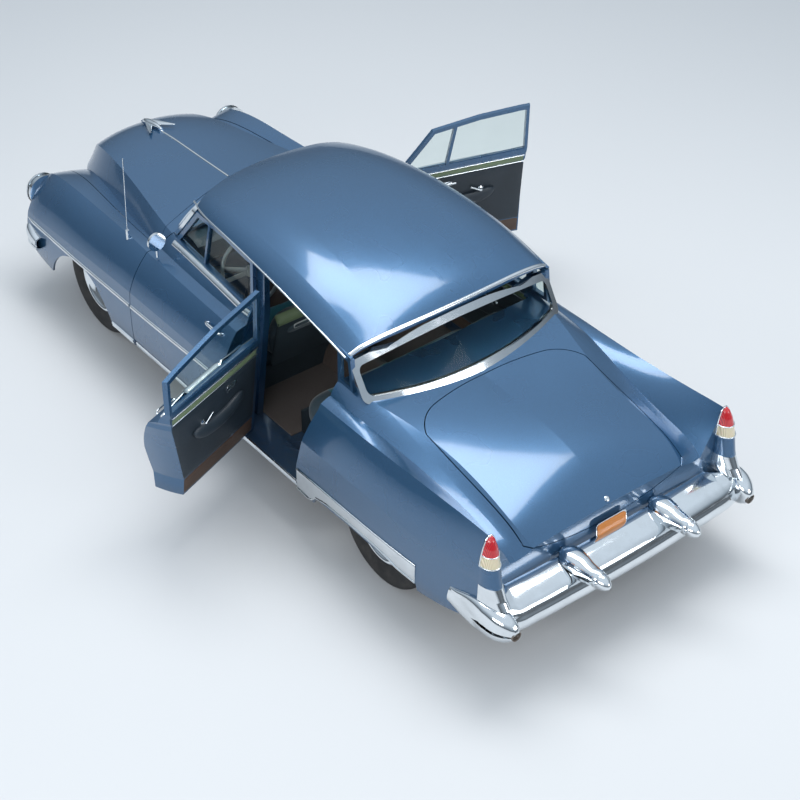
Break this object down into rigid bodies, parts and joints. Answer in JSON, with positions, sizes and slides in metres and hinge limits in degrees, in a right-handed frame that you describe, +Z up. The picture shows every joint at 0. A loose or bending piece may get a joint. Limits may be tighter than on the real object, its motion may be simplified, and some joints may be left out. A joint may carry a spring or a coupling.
{
  "type": "four-door sedan car",
  "caption": "Full-size early 1950s sedan with hinged doors, hood and trunk lid, steered front wheels and free-rolling road wheels; two doors stand open",
  "frame": {"origin": "on the ground at mid-length on the centre plane, midway between the closed body's sides", "axes": "+X forward, +Y the car's left, +Z up"},
  "size_m": [5.464, 3.7069, 1.653],
  "materials": {
    "body_paint": "metallic slate blue, glossy",
    "bright_chrome": "polished chrome plate",
    "chassis_black": "satin black chassis paint",
    "clear_glass": "clear, faintly green",
    "seat_cloth": "woven cloth, slate and teal",
    "tyre_rubber": "black rubber",
    "wheel_chrome": "chrome trim ring and cap on a blue band",
    "bare_steel": "dull road-worn steel",
    "dash_enamel": "dark slate enamel",
    "ivory_plastic": "pale moulded rim",
    "lamp_glass": "fluted lamp glass in a chrome bezel",
    "red_lens": "red lens over a cream lens, chrome foot"
  },
  "bodies": {
    "body": {"cowl": "body_paint", "front_wing_left": "body_paint", "front_wing_right": "body_paint", "roof": "body_paint", "centre_posts": "body_paint", "windscreen_frame": "bright_chrome", "windscreen": "clear_glass", "backlight_frame": "bright_chrome", "rear_glass": "clear_glass", "rear_deck": "body_paint", "quarter_panel_left": "body_paint", "quarter_panel_right": "body_paint", "floor_pan": "body_paint", "chassis_frame": "chassis_black", "engine_block": "chassis_black", "front_suspension": "chassis_black", "rear_axle": "chassis_black", "exhaust": "bare_steel", "fuel_tank": "chassis_black", "front_seat": "seat_cloth", "rear_seat": "seat_cloth", "parcel_shelf": "seat_cloth", "dashboard": "dash_enamel", "steering_column": "ivory_plastic", "front_bumper": "bright_chrome", "rear_bumper": "bright_chrome", "headlamps": "lamp_glass", "tail_lamps": "red_lens", "grille": "bright_chrome", "aerial": "bright_chrome"},
    "hood_lid": {"hood": "body_paint"},
    "trunk_door": {"trunk_lid": "body_paint"},
    "front_door_left": {"door_front_left": "body_paint", "door_glass_front_left": "clear_glass", "door_mirror": "bright_chrome"},
    "rear_door_left": {"door_rear_left": "body_paint", "door_glass_rear_left": "clear_glass"},
    "front_door_right": {"door_front_right": "body_paint", "door_glass_front_right": "clear_glass"},
    "rear_door_right": {"door_rear_right": "body_paint", "door_glass_rear_right": "clear_glass"},
    "steering_left": {"knuckle_left": "bare_steel"},
    "steering_right": {"knuckle_right": "bare_steel"},
    "road_wheel_front_left": {"wheel_front_left": "wheel_chrome", "tyre_front_left": "tyre_rubber"},
    "road_wheel_front_right": {"wheel_front_right": "wheel_chrome", "tyre_front_right": "tyre_rubber"},
    "road_wheel_rear_left": {"wheel_rear_left": "wheel_chrome", "tyre_rear_left": "tyre_rubber"},
    "road_wheel_rear_right": {"wheel_rear_right": "wheel_chrome", "tyre_rear_right": "tyre_rubber"}
  },
  "joints": [
    {"name": "hood_hinge", "type": "hinge", "parent": "body", "child": "hood_lid", "pos_m": [0.98, 0, 1.05], "axis": [0, -1, 0], "range_deg": [0, 45]},
    {"name": "trunk_hinge", "type": "hinge", "parent": "body", "child": "trunk_door", "pos_m": [-1.12, 0, 0.99], "axis": [0, 1, 0], "range_deg": [0, 45]},
    {"name": "front_left_door_hinge", "type": "hinge", "parent": "body", "child": "front_door_left", "pos_m": [1.086, 0.968, 0.7], "axis": [0, 0, -1], "range_deg": [0, 69]},
    {"name": "rear_left_door_hinge", "type": "hinge", "parent": "body", "child": "rear_door_left", "pos_m": [0.004, 0.968, 0.7], "axis": [0, 0, 1], "range_deg": [0, 69]},
    {"name": "front_right_door_hinge", "type": "hinge", "parent": "body", "child": "front_door_right", "pos_m": [1.086, -0.968, 0.7], "axis": [0, 0, -1], "range_deg": [0, 69]},
    {"name": "rear_right_door_hinge", "type": "hinge", "parent": "body", "child": "rear_door_right", "pos_m": [0.004, -0.968, 0.7], "axis": [0, 0, 1], "range_deg": [0, 69]},
    {"name": "steer_left", "type": "hinge", "parent": "body", "child": "steering_left", "pos_m": [1.779, 0.66, 0.37], "axis": [0, 0, 1], "range_deg": [-28, 28]},
    {"name": "steer_right", "type": "hinge", "parent": "body", "child": "steering_right", "pos_m": [1.779, -0.66, 0.37], "axis": [0, 0, 1], "range_deg": [-28, 28]},
    {"name": "front_left_wheel_spin", "type": "hinge", "parent": "steering_left", "child": "road_wheel_front_left", "pos_m": [1.779, 0.745, 0.37], "axis": [0, 1, 0], "continuous": true},
    {"name": "front_right_wheel_spin", "type": "hinge", "parent": "steering_right", "child": "road_wheel_front_right", "pos_m": [1.779, -0.745, 0.37], "axis": [0, 1, 0], "continuous": true},
    {"name": "rear_left_wheel_spin", "type": "hinge", "parent": "body", "child": "road_wheel_rear_left", "pos_m": [-1.421, 0.79, 0.37], "axis": [0, 1, 0], "continuous": true},
    {"name": "rear_right_wheel_spin", "type": "hinge", "parent": "body", "child": "road_wheel_rear_right", "pos_m": [-1.421, -0.79, 0.37], "axis": [0, 1, 0], "continuous": true}
  ],
  "couplings": [
    {"joint": "steer_right", "follows": "steer_left", "ratio": 1}
  ]
}
